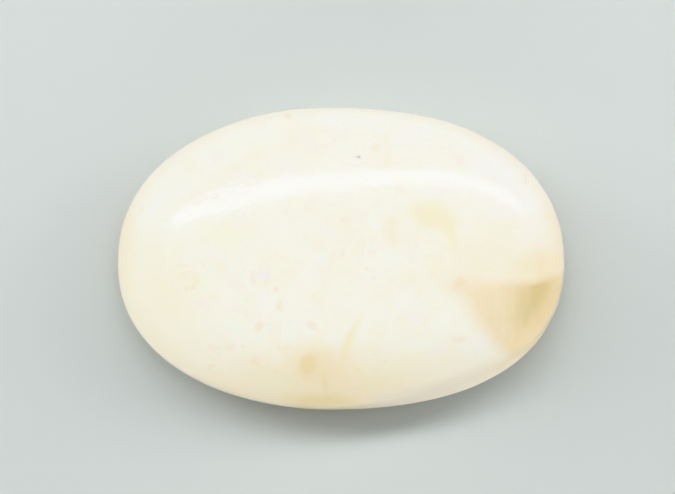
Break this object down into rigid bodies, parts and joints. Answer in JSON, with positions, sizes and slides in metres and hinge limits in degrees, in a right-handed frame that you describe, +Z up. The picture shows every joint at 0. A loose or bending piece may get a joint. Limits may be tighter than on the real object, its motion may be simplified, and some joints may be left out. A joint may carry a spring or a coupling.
{
  "type": "polished opal cabochon",
  "caption": "Polished oval opal cabochon with a low dome over a flat back, to display loose or to set in jewellery.",
  "frame": {"origin": "centre of the flat back, on the surface that the stone rests on", "axes": "+Z up through the dome, +X along the stone's length towards the end with the large honey-coloured patch, +Y across its width"},
  "size_m": [0.021, 0.0142, 0.0052],
  "materials": {
    "polished_opal": "polished milky white with honey patches and faint pinfire play of colour"
  },
  "bodies": {
    "root": {"opal_cabochon": "polished_opal"}
  },
  "joints": []
}
